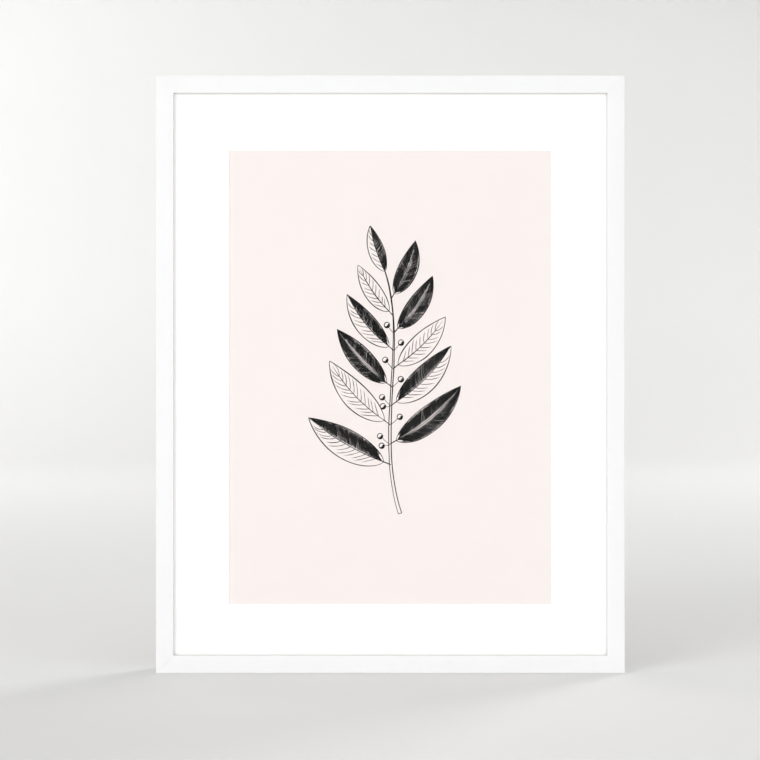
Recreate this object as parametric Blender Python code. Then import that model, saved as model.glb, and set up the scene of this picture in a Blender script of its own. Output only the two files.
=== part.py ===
"""Framed art print that stands on its own bottom rail.

Four mitred rails of a deep white box frame hold, from the front: a clear pane, a window mat,
the printed sheet, a mount board, a ring of spacer strips and a hardboard back, which steel
tabs keep in. A toothed hanger, two rubber bumpers and four mitre nails are on the back.

Metres, +Z up. The picture faces -Y and X runs to the right. The origin is under the middle
of the whole box, on the floor.
"""

import math

import bmesh
import bpy
from mathutils import Vector

# Clearance between pieces that touch
GAP = 0.0003

# Frame, as seen from the front
FRAME_WIDTH = 0.433
FRAME_HEIGHT = 0.552
FACE_WIDTH = 0.0164

# Rail section
RAIL_DEPTH = 0.035
LIP_THICKNESS = 0.0025
LIP_REACH = 0.006
FRONT_EASE = 0.0006
SIGHT_EASE = 0.0004
BACK_EASE = 0.0006
EASE_STEPS = 3

# Sheets in the rebate, front to back
GLAZING_THICKNESS = 0.0010
MAT_THICKNESS = 0.0010
PRINT_THICKNESS = 0.0003
MOUNT_BOARD_THICKNESS = 0.0015
SPACER_DEPTH = 0.0199
BACKING_THICKNESS = 0.003
SHEET_CLEARANCE = 0.0006

# Window cut in the mat, and the printed sheet behind it
WINDOW_WIDTH = 0.2977
WINDOW_HEIGHT = 0.4190
WINDOW_DROP = 0.0029
PRINT_OVERLAP = 0.010
SPACER_WIDTH = 0.008

# Flexible steel tabs that hold the back in
TAB_THICKNESS = 0.0005
TAB_WIDTH = 0.006
TAB_LENGTH = 0.019
TAB_IN_WOOD = 0.006
TAB_POINT = 0.0025
TAB_POINT_SHARE = 1 / 3
TAB_END_SHARE = 1 / 2
TABS_PER_LONG_RAIL = 3
TABS_PER_SHORT_RAIL = 2

# Mitre nails, driven flush into the back over each corner
MITRE_NAIL_THICKNESS = 0.0006
MITRE_NAIL_LEG = 0.008
MITRE_NAIL_DEPTH = 0.009
MITRE_NAIL_SINK = 0.0002

# Toothed hanger on the top rail
HANGER_LENGTH = 0.045
HANGER_HEIGHT = 0.0085
HANGER_THICKNESS = 0.0008
HANGER_RISE = 0.0010
HANGER_FOOT = 0.0085
HANGER_RAMP = 0.0015
HANGER_TEETH = 9
HANGER_TOOTH_DEPTH = 0.0022
HANGER_HOLE_RADIUS = 0.0011
NAIL_RADIUS = 0.0007
NAIL_LENGTH = 0.0085
NAIL_HEAD_RADIUS = 0.0019
NAIL_HEAD_HEIGHT = 0.0007
NAIL_SIDES = 16
NAIL_POINT_LENGTH = 0.0014
NAIL_POINT_SHARE = 1 / 3
NAIL_CROWN_HEIGHT = 0.00023
NAIL_CROWN_SHARE = 0.7

# Rubber bumpers near the bottom corners
BUMPER_RADIUS = 0.0045
BUMPER_HEIGHT = 0.0025
BUMPER_FROM_FLOOR = 0.026
BUMPER_SIDES = 24
BUMPER_DOME_STEPS = 4
BUMPER_DOME_TURN = math.radians(75)
BUMPER_WALL_SHARE = 1 / 2

# Places worked out from the sizes above
WHOLE_DEPTH = RAIL_DEPTH + GAP + BUMPER_HEIGHT
FRONT_Y = -WHOLE_DEPTH / 2
BACK_Y = FRONT_Y + RAIL_DEPTH
REBATE_WALL = FACE_WIDTH - LIP_REACH
REBATE_WIDTH = FRAME_WIDTH - 2 * REBATE_WALL
REBATE_HEIGHT = FRAME_HEIGHT - 2 * REBATE_WALL
WINDOW_CENTRE_Z = FRAME_HEIGHT / 2 - WINDOW_DROP
CUT_THROUGH = 0.001

# Edges between faces that meet at less than this are shaded round
ROUND_BELOW = math.radians(35)

RIGHT = Vector((1, 0, 0))
BACK = Vector((0, 1, 0))
UP = Vector((0, 0, 1))


def clear_scene():
    """Remove every object of the scene."""
    for obj in list(bpy.data.objects):
        bpy.data.objects.remove(obj, do_unlink=True)


def make_material(name, colour, roughness, metallic=0.0, alpha=1.0):
    """Make a Principled material of one colour."""
    material = bpy.data.materials.new(name)
    material.use_nodes = True
    shader = material.node_tree.nodes["Principled BSDF"]
    shader.inputs["Base Color"].default_value = (*colour, 1.0)
    shader.inputs["Roughness"].default_value = roughness
    shader.inputs["Metallic"].default_value = metallic
    shader.inputs["Alpha"].default_value = alpha
    return material


def loft(name, rings, material):
    """Make a closed solid through rings of points, with a flat face on each end."""
    shape = bmesh.new()
    loops = [[shape.verts.new(point) for point in ring] for ring in rings]
    count = len(loops[0])
    for near, far in zip(loops, loops[1:]):
        for index in range(count):
            after = (index + 1) % count
            shape.faces.new((near[index], near[after], far[after], far[index]))
    shape.faces.new(loops[0])
    shape.faces.new(loops[-1])
    bmesh.ops.recalc_face_normals(shape, faces=shape.faces)
    mesh = bpy.data.meshes.new(name)
    shape.to_mesh(mesh)
    shape.free()
    if material is not None:
        mesh.materials.append(material)
    obj = bpy.data.objects.new(name, mesh)
    bpy.context.scene.collection.objects.link(obj)
    return obj


def plate(name, outline, near_y, far_y, material):
    """Make a plate from an (x, z) outline, between two depths."""
    rings = [[Vector((x, y, z)) for x, z in outline] for y in (near_y, far_y)]
    return loft(name, rings, material)


def sheet(name, width, height, base_z, near_y, thickness, material):
    """Make a rectangular sheet that is centred in X and stands on base_z."""
    half = width / 2
    outline = [(-half, base_z), (half, base_z), (half, base_z + height), (-half, base_z + height)]
    return plate(name, outline, near_y, near_y + thickness, material)


def circle(centre_x, centre_z, y, radius, sides):
    """Give the points of a circle that faces along Y."""
    turns = [2 * math.pi * index / sides for index in range(sides)]
    return [
        Vector((centre_x + radius * math.cos(turn), y, centre_z + radius * math.sin(turn)))
        for turn in turns
    ]


def cutter(obj):
    """Mark an object as a cutter, which isn't part of the frame."""
    obj.hide_render = True
    obj.display_type = "WIRE"
    return obj


def cut(target, tool):
    """Cut a tool's shape out of a solid."""
    modifier = target.modifiers.new("cut_" + tool.name, "BOOLEAN")
    modifier.operation = "DIFFERENCE"
    modifier.solver = "EXACT"
    modifier.object = tool


def eased_corner(centre, radius, start_degrees):
    """Give the points of a quarter round between two faces of the rail section."""
    points = []
    for step in range(EASE_STEPS + 1):
        turn = math.radians(start_degrees + 90 * step / EASE_STEPS)
        across = centre[0] + radius * math.cos(turn)
        depth = centre[1] + radius * math.sin(turn)
        points.append((across, depth))
    return points


def rail_section():
    """Give the rail's section: distance in from the outer edge, and depth from the front."""
    section = eased_corner((FRONT_EASE, FRONT_EASE), FRONT_EASE, 180)
    section += eased_corner((FACE_WIDTH - SIGHT_EASE, SIGHT_EASE), SIGHT_EASE, 270)
    section += [(FACE_WIDTH, LIP_THICKNESS), (REBATE_WALL, LIP_THICKNESS)]
    section += [(REBATE_WALL, RAIL_DEPTH)]
    section += eased_corner((BACK_EASE, RAIL_DEPTH - BACK_EASE), BACK_EASE, 90)
    return section


def make_rail(side, middle, along, inward, length, material):
    """Make one rail, mitred at both ends, from the middle of its outer front edge."""
    mitre_shift = GAP / math.sqrt(2)
    rings = []
    for end in (-1, 1):
        ring = []
        for across, depth in rail_section():
            reach = length / 2 - across - mitre_shift
            ring.append(middle + along * (end * reach) + inward * across + BACK * depth)
        rings.append(ring)
    return loft("rail_" + side, rings, material)


def make_rails(material):
    """Make the four rails of the frame, by side."""
    front = BACK * FRONT_Y
    half_height = UP * (FRAME_HEIGHT / 2)
    half_width = RIGHT * (FRAME_WIDTH / 2)
    top_edge = front + UP * FRAME_HEIGHT
    return {
        "top": make_rail("top", top_edge, RIGHT, -UP, FRAME_WIDTH, material),
        "bottom": make_rail("bottom", front, RIGHT, UP, FRAME_WIDTH, material),
        "left": make_rail(
            "left", front + half_height - half_width, UP, RIGHT, FRAME_HEIGHT, material
        ),
        "right": make_rail(
            "right", front + half_height + half_width, UP, -RIGHT, FRAME_HEIGHT, material
        ),
    }


def make_mat(near_y, width, height, base_z, material):
    """Make the window mat, whose opening is cut at 45 degrees and is widest in front."""
    board = sheet("window_mat", width, height, base_z, near_y, MAT_THICKNESS, material)
    rings = []
    for y, grow in (
        (near_y - CUT_THROUGH, MAT_THICKNESS + CUT_THROUGH),
        (near_y + MAT_THICKNESS + CUT_THROUGH, -CUT_THROUGH),
    ):
        half_width = WINDOW_WIDTH / 2 + grow
        half_height = WINDOW_HEIGHT / 2 + grow
        low = WINDOW_CENTRE_Z - half_height
        high = WINDOW_CENTRE_Z + half_height
        corners = ((-half_width, low), (half_width, low), (half_width, high), (-half_width, high))
        rings.append([Vector((x, y, z)) for x, z in corners])
    cut(board, cutter(loft("window_cutter", rings, None)))


def make_spacers(near_y, material):
    """Make the four strips that keep the back away from the picture."""
    half_width = REBATE_WIDTH / 2 - GAP
    low = REBATE_WALL + GAP
    high = FRAME_HEIGHT - REBATE_WALL - GAP
    inner = half_width - SPACER_WIDTH
    side_low = low + SPACER_WIDTH + GAP
    side_high = high - SPACER_WIDTH - GAP
    strips = {
        "bottom": (-half_width, half_width, low, low + SPACER_WIDTH),
        "top": (-half_width, half_width, high - SPACER_WIDTH, high),
        "left": (-half_width, -inner, side_low, side_high),
        "right": (inner, half_width, side_low, side_high),
    }
    for side, (x0, x1, z0, z1) in strips.items():
        outline = [(x0, z0), (x1, z0), (x1, z1), (x0, z1)]
        plate("spacer_" + side, outline, near_y, near_y + SPACER_DEPTH, material)


def make_stack(materials):
    """Make the sheets in the rebate from the pane back, and give the depth behind them."""
    width = REBATE_WIDTH - 2 * SHEET_CLEARANCE
    height = REBATE_HEIGHT - GAP - 2 * SHEET_CLEARANCE
    base_z = REBATE_WALL + GAP
    y = FRONT_Y + LIP_THICKNESS + GAP
    sheet("glazing", width, height, base_z, y, GLAZING_THICKNESS, materials["acrylic"])
    y += GLAZING_THICKNESS + GAP
    make_mat(y, width, height, base_z, materials["mat_board"])
    y += MAT_THICKNESS + GAP
    print_width = WINDOW_WIDTH + 2 * PRINT_OVERLAP
    print_height = WINDOW_HEIGHT + 2 * PRINT_OVERLAP
    print_base = WINDOW_CENTRE_Z - print_height / 2
    sheet(
        "art_print", print_width, print_height, print_base, y, PRINT_THICKNESS,
        materials["print_paper"],
    )
    y += PRINT_THICKNESS + GAP
    sheet("mount_board", width, height, base_z, y, MOUNT_BOARD_THICKNESS, materials["grey_board"])
    y += MOUNT_BOARD_THICKNESS + GAP
    make_spacers(y, materials["spacer_wood"])
    y += SPACER_DEPTH + GAP
    sheet("backing_board", width, height, base_z, y, BACKING_THICKNESS, materials["hardboard"])
    return y + BACKING_THICKNESS + GAP


def spread(count, span):
    """Give places along a span for a count of equal shares, measured from its middle."""
    return [span * ((index + 0.5) / count - 0.5) for index in range(count)]


def make_tab(name, rail, root, inward, along, near_y, material):
    """Make one tab, driven into the rebate wall at root, and the slot that it sits in."""
    half = TAB_WIDTH / 2
    tip = -TAB_IN_WOOD
    end = TAB_LENGTH - TAB_IN_WOOD
    outline = (
        (tip, -half * TAB_POINT_SHARE),
        (tip, half * TAB_POINT_SHARE),
        (tip + TAB_POINT, half),
        (end - TAB_POINT, half),
        (end, half * TAB_END_SHARE),
        (end, -half * TAB_END_SHARE),
        (end - TAB_POINT, -half),
        (tip + TAB_POINT, -half),
    )
    rings = []
    for y in (near_y, near_y + TAB_THICKNESS):
        rings.append([root + inward * u + along * v + BACK * y for u, v in outline])
    loft(name, rings, material)
    slot_half = half + GAP
    slot = (
        (tip - GAP, -slot_half),
        (tip - GAP, slot_half),
        (CUT_THROUGH, slot_half),
        (CUT_THROUGH, -slot_half),
    )
    rings = []
    for y in (near_y - GAP, near_y + TAB_THICKNESS + GAP):
        rings.append([root + inward * u + along * v + BACK * y for u, v in slot])
    cut(rail, cutter(loft("slot_for_" + name, rings, None)))


def make_tabs(rails, near_y, material):
    """Make the tabs of all four rails."""
    middle_z = UP * (FRAME_HEIGHT / 2)
    half_width = REBATE_WIDTH / 2
    half_height = REBATE_HEIGHT / 2
    rows = (
        ("left", -RIGHT * half_width, RIGHT, UP, REBATE_HEIGHT, TABS_PER_LONG_RAIL),
        ("right", RIGHT * half_width, -RIGHT, UP, REBATE_HEIGHT, TABS_PER_LONG_RAIL),
        ("top", UP * half_height, -UP, RIGHT, REBATE_WIDTH, TABS_PER_SHORT_RAIL),
        ("bottom", -UP * half_height, UP, RIGHT, REBATE_WIDTH, TABS_PER_SHORT_RAIL),
    )
    for side, wall, inward, along, span, count in rows:
        for number, place in enumerate(spread(count, span), start=1):
            root = middle_z + wall + along * place
            name = "tab_" + side + "_" + str(number)
            make_tab(name, rails[side], root, inward, along, near_y, material)


def mitre_nail_outline(corner_x, corner_z, grow):
    """Give the L of a mitre nail's edge, its corner on the mitre line."""
    near = REBATE_WALL / 2 - grow
    far = REBATE_WALL / 2 + MITRE_NAIL_THICKNESS + grow
    tip = REBATE_WALL / 2 + MITRE_NAIL_LEG + grow
    corners = ((near, near), (tip, near), (tip, far), (far, far), (far, tip), (near, tip))
    inward_x = -1 if corner_x > 0 else 1
    inward_z = -1 if corner_z > 0 else 1
    return [(corner_x + inward_x * p, corner_z + inward_z * q) for p, q in corners]


def make_mitre_nails(rails, material):
    """Make a nail over the mitre of each corner, in a slot that both rails share."""
    nail_back = BACK_Y - MITRE_NAIL_SINK
    nail_front = nail_back - MITRE_NAIL_DEPTH
    for level, corner_z in (("top", FRAME_HEIGHT), ("bottom", 0.0)):
        for side, corner_x in (("left", -FRAME_WIDTH / 2), ("right", FRAME_WIDTH / 2)):
            name = "mitre_nail_" + level + "_" + side
            outline = mitre_nail_outline(corner_x, corner_z, 0.0)
            plate(name, outline, nail_front, nail_back, material)
            wide = mitre_nail_outline(corner_x, corner_z, GAP)
            slot = plate("slot_for_" + name, wide, nail_front - GAP, BACK_Y + CUT_THROUGH, None)
            cutter(slot)
            cut(rails[level], slot)
            cut(rails[side], slot)


def make_hanger(rail, brass, nail_steel):
    """Make the toothed hanger with its raised middle, and the two nails that hold it."""
    half = HANGER_LENGTH / 2
    top_z = FRAME_HEIGHT - REBATE_WALL / 2 + HANGER_HEIGHT / 2
    base_z = top_z - HANGER_HEIGHT
    ramp_start = half - HANGER_FOOT
    raised = ramp_start - HANGER_RAMP
    stations = [(-half, 0.0, base_z), (-ramp_start, 0.0, base_z)]
    pitch = 2 * raised / HANGER_TEETH
    for tooth in range(HANGER_TEETH):
        left = -raised + tooth * pitch
        stations.append((left, HANGER_RISE, base_z))
        stations.append((left + pitch / 2, HANGER_RISE, base_z + HANGER_TOOTH_DEPTH))
    stations += [(raised, HANGER_RISE, base_z), (ramp_start, 0.0, base_z), (half, 0.0, base_z)]
    near_y = BACK_Y + GAP
    rings = []
    for x, rise, low_z in stations:
        near = near_y + rise
        far = near + HANGER_THICKNESS
        rings.append(
            [
                Vector((x, near, low_z)),
                Vector((x, far, low_z)),
                Vector((x, far, top_z)),
                Vector((x, near, top_z)),
            ]
        )
    hanger = loft("hanger", rings, brass)
    for side, sign in (("left", -1), ("right", 1)):
        centre_x = sign * (half - HANGER_FOOT / 2)
        centre_z = (base_z + top_z) / 2
        make_hanger_nail(side, centre_x, centre_z, rail, hanger, nail_steel)


def make_hanger_nail(side, centre_x, centre_z, rail, hanger, material):
    """Make one flat-headed nail, its hole in the hanger and its hole in the rail."""
    head_near = BACK_Y + GAP + HANGER_THICKNESS + GAP
    head_far = head_near + NAIL_HEAD_HEIGHT
    tip = head_near - NAIL_LENGTH
    stations = (
        (tip, NAIL_RADIUS * NAIL_POINT_SHARE),
        (tip + NAIL_POINT_LENGTH, NAIL_RADIUS),
        (head_near, NAIL_RADIUS),
        (head_near, NAIL_HEAD_RADIUS),
        (head_far - NAIL_CROWN_HEIGHT, NAIL_HEAD_RADIUS),
        (head_far, NAIL_HEAD_RADIUS * NAIL_CROWN_SHARE),
    )
    rings = [circle(centre_x, centre_z, y, radius, NAIL_SIDES) for y, radius in stations]
    nail = loft("hanger_nail_" + side, rings, material)
    nail.data.shade_smooth()
    nail.data.set_sharp_from_angle(angle=ROUND_BELOW)
    for target, near_y, far_y, radius in (
        (hanger, BACK_Y, head_far, HANGER_HOLE_RADIUS),
        (rail, tip - GAP, BACK_Y + CUT_THROUGH, NAIL_RADIUS + GAP),
    ):
        rings = [circle(centre_x, centre_z, y, radius, NAIL_SIDES) for y in (near_y, far_y)]
        name = "hole_" + target.name + "_" + side
        cut(target, cutter(loft(name, rings, None)))


def make_bumpers(material):
    """Make the two domed bumpers on the backs of the side rails."""
    base_y = BACK_Y + GAP
    wall_height = BUMPER_HEIGHT * BUMPER_WALL_SHARE
    dome = BUMPER_HEIGHT - wall_height
    for side, sign in (("left", -1), ("right", 1)):
        centre_x = sign * (FRAME_WIDTH / 2 - REBATE_WALL / 2)
        rings = [circle(centre_x, BUMPER_FROM_FLOOR, base_y, BUMPER_RADIUS, BUMPER_SIDES)]
        for step in range(BUMPER_DOME_STEPS + 1):
            turn = BUMPER_DOME_TURN * step / BUMPER_DOME_STEPS
            y = base_y + wall_height + dome * math.sin(turn) / math.sin(BUMPER_DOME_TURN)
            radius = BUMPER_RADIUS - dome * (1 - math.cos(turn))
            rings.append(circle(centre_x, BUMPER_FROM_FLOOR, y, radius, BUMPER_SIDES))
        bumper = loft("bumper_" + side, rings, material)
        bumper.data.shade_smooth()
        bumper.data.set_sharp_from_angle(angle=ROUND_BELOW)


def make_materials():
    """Make the material of each kind of piece."""
    return {
        "lacquer": make_material("white_lacquer", (0.93, 0.93, 0.93), 0.38),
        "acrylic": make_material("clear_acrylic", (0.95, 0.98, 0.98), 0.05, alpha=0.12),
        "mat_board": make_material("mat_board", (0.96, 0.96, 0.96), 0.85),
        "print_paper": make_material("blush_print", (0.96, 0.90, 0.87), 0.80),
        "grey_board": make_material("grey_board", (0.42, 0.41, 0.39), 0.90),
        "spacer_wood": make_material("spacer_wood", (0.72, 0.56, 0.38), 0.70),
        "hardboard": make_material("hardboard", (0.30, 0.17, 0.09), 0.75),
        "tab_steel": make_material("tab_steel", (0.30, 0.30, 0.31), 0.45, metallic=1.0),
        "hanger_brass": make_material("hanger_brass", (0.78, 0.62, 0.34), 0.32, metallic=1.0),
        "nail_steel": make_material("nail_steel", (0.60, 0.60, 0.61), 0.35, metallic=1.0),
        "rubber": make_material("bumper_rubber", (0.55, 0.55, 0.54), 0.60),
    }


def main():
    """Build the whole framed print."""
    clear_scene()
    materials = make_materials()
    rails = make_rails(materials["lacquer"])
    behind_backing_y = make_stack(materials)
    make_tabs(rails, behind_backing_y, materials["tab_steel"])
    make_mitre_nails(rails, materials["nail_steel"])
    make_hanger(rails["top"], materials["hanger_brass"], materials["nail_steel"])
    make_bumpers(materials["rubber"])


main()
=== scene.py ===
"""Looks of the framed art print: the frame, the pane, the mat, the printed sheet and the back.

Metres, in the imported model's frame: X to the right, +Z up, and the picture faces -Y.
"""

import logging
import math
from dataclasses import dataclass, field
from enum import Enum
from typing import Optional, Sequence, Union

import bmesh
import bpy
import numpy as np
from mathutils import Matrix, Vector


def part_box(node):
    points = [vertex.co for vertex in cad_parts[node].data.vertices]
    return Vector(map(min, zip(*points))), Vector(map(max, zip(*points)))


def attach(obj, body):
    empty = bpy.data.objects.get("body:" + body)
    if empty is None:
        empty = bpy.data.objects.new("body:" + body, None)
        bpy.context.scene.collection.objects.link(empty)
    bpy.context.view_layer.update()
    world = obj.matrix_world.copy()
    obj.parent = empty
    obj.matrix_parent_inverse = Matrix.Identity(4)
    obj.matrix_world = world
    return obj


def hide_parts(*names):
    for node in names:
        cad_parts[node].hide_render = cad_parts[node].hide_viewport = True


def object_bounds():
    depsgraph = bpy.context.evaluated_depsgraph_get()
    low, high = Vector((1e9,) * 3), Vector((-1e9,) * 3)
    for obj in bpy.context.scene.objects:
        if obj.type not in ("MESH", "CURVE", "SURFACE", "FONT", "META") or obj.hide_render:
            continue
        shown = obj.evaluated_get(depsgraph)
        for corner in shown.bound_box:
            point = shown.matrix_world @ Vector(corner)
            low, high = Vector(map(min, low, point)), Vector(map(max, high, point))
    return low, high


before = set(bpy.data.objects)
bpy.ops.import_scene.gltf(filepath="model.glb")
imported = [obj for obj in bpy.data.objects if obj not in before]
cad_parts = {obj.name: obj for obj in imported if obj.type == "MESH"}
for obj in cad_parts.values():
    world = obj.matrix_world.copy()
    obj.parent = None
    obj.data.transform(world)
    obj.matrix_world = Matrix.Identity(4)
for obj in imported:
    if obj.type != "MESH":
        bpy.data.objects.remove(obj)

CAD_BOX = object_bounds()
MIDDLE = (CAD_BOX[0] + CAD_BOX[1]) / 2
BODY = "root"
MM = 0.001
EVEN = (1.0, 1.0, 1.0)
LOG = logging.getLogger("framed_print")

# The photograph, in pixels: its side, and the outer edges of the frame in it
PHOTO_SIDE = 760.0
FRAME_LEFT_PX = 155.7
FRAME_RIGHT_PX = 625.0
FRAME_TOP_PX = 75.3
FRAME_BOTTOM_PX = 673.2

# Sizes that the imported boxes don't tell
TOUCH = 0.3 * MM
PRINT_OVERLAP = 10 * MM

# The pens' full widths, and the two ink pieces that their strokes join
LINE_WIDTH = 0.95 * MM
VEIN_WIDTH = 0.55 * MM
HATCH_WIDTH = 0.70 * MM
OUTLINES = "ink_outlines"
HATCHING = "ink_hatching"

Pair = tuple[float, float]
Triple = tuple[float, float, float]
Colour = Triple
Points = list[Pair]
Ring = list[Vector]
Shape = bmesh.types.BMesh
Socket = bpy.types.NodeSocket
Material = bpy.types.Material
Object = bpy.types.Object


class Side(Enum):
    """A side of the frame, with the way its rail runs and the way in from its outer edge."""

    TOP = ("top", (1, 0, 0), (0, 0, -1))
    BOTTOM = ("bottom", (1, 0, 0), (0, 0, 1))
    LEFT = ("left", (0, 0, 1), (1, 0, 0))
    RIGHT = ("right", (0, 0, 1), (-1, 0, 0))

    def __init__(self, word: str, along: Triple, inward: Triple) -> None:
        """Keep the side's name, as node names spell it, and its two ways."""
        self.word = word
        self.along, self.inward = Vector(along), Vector(inward)

    def split(self, spread: Vector) -> Pair:
        """Give how far a spread reaches along the rail, and how far across it."""
        return (spread.x, spread.z) if self.along.x else (spread.z, spread.x)

    def grain(self, length: float) -> Triple:
        """Give a noise's stretch whose features are so many times longer along the rail."""
        return (length, 1.0, 1.0) if self.along.x else (1.0, 1.0, length)


class Shade(Enum):
    """How much of a drawn leaf is inked dark, and the share left bare beside its midrib."""

    OPEN = 1.0
    HALF = 0.04
    FULL = 0.07


class Pen(Enum):
    """A kind of stroke.

    Each holds its piece, its full width, the shares of that at its start and its end, how far
    it drifts, and its number of points.
    """

    MARGIN = (OUTLINES, LINE_WIDTH, 0.5, 0.6, 0.10 * MM, 34)
    MIDRIB = (OUTLINES, LINE_WIDTH * 0.9, 0.9, 0.2, 0.05 * MM, 26)
    PETIOLE = (OUTLINES, LINE_WIDTH, 1.0, 0.9, 0.10 * MM, 7)
    STEM_LIGHT = (OUTLINES, LINE_WIDTH * 0.8, 0.8, 0.6, 0.10 * MM, 90)
    STEM_DARK = (OUTLINES, LINE_WIDTH * 1.15, 0.8, 0.6, 0.10 * MM, 90)
    STEM_CUT = (OUTLINES, LINE_WIDTH * 0.8, 0.8, 0.8, 0.03 * MM, 6)
    VEIN = (OUTLINES, VEIN_WIDTH, 0.9, 0.25, 0.05 * MM, 9)
    STALK = (OUTLINES, VEIN_WIDTH, 1.0, 0.8, 0.10 * MM, 8)
    BERRY = (OUTLINES, LINE_WIDTH * 0.85, 0.6, 0.5, 0.05 * MM, 30)
    BERRY_SHADE = (HATCHING, HATCH_WIDTH * 0.8, 0.7, 0.6, 0.04 * MM, 5)
    HATCH = (HATCHING, HATCH_WIDTH, 0.75, 0.6, 0.06 * MM, 5)
    CROSS_HATCH = (HATCHING, HATCH_WIDTH * 0.9, 0.5, 0.4, 0.10 * MM, 6)

    def run(self, first: float, last: float) -> np.ndarray:
        """Spread the stroke's points from one place to another."""
        return np.linspace(first, last, self.value[-1])


# Shader graphs


class Value:
    """A number that a shader works out. Arithmetic on it adds Math nodes."""

    def __init__(self, graph: "Graph", socket: Socket) -> None:
        """Wrap one output socket of a graph."""
        self.graph = graph
        self.socket = socket

    def math(self, operation: str, *terms: "Number") -> "Value":
        """Add a Math node of one operation on its terms."""
        node = self.graph.node("ShaderNodeMath", {"operation": operation}, dict(enumerate(terms)))
        return Value(self.graph, node.outputs[0])

    def __add__(self, other: "Number") -> "Value":
        """Add a number."""
        return self.math("ADD", self, other)

    def __radd__(self, other: "Number") -> "Value":
        """Add to a number."""
        return self.math("ADD", other, self)

    def __sub__(self, other: "Number") -> "Value":
        """Take a number away."""
        return self.math("SUBTRACT", self, other)

    def __rsub__(self, other: "Number") -> "Value":
        """Take away from a number."""
        return self.math("SUBTRACT", other, self)

    def __mul__(self, other: "Number") -> "Value":
        """Multiply by a number."""
        return self.math("MULTIPLY", self, other)

    def __rmul__(self, other: "Number") -> "Value":
        """Multiply a number."""
        return self.math("MULTIPLY", other, self)

    def __abs__(self) -> "Value":
        """Drop the sign."""
        return self.math("ABSOLUTE", self)

    def power(self, exponent: float) -> "Value":
        """Raise to a power."""
        return self.math("POWER", self, exponent)

    def larger(self, other: "Number") -> "Value":
        """Give the larger of two numbers."""
        return self.math("MAXIMUM", self, other)

    def wave(self, turns_per_metre: float) -> "Value":
        """Give the sine of a place, at a number of turns a metre."""
        return self.math("SINE", self * (2 * math.pi * turns_per_metre))

    def step(self, low: float, high: float) -> "Value":
        """Rise smoothly from 0 to 1.

        Args:
            low: The value up to which it stays 0.
            high: The value from which it stays 1.

        Returns:
            The number from 0 to 1.
        """
        ends = {"Value": self, "From Min": low, "From Max": high}
        node = self.graph.node("ShaderNodeMapRange", {"interpolation_type": "SMOOTHSTEP"}, ends)
        return Value(self.graph, node.outputs["Result"])


Number = Union[float, Value]
Input = Union[float, Sequence[float], Value, Socket]
Inputs = dict[Union[int, str], Input]
Settings = dict[str, object]
Stops = Sequence[tuple[float, Colour]]


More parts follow.
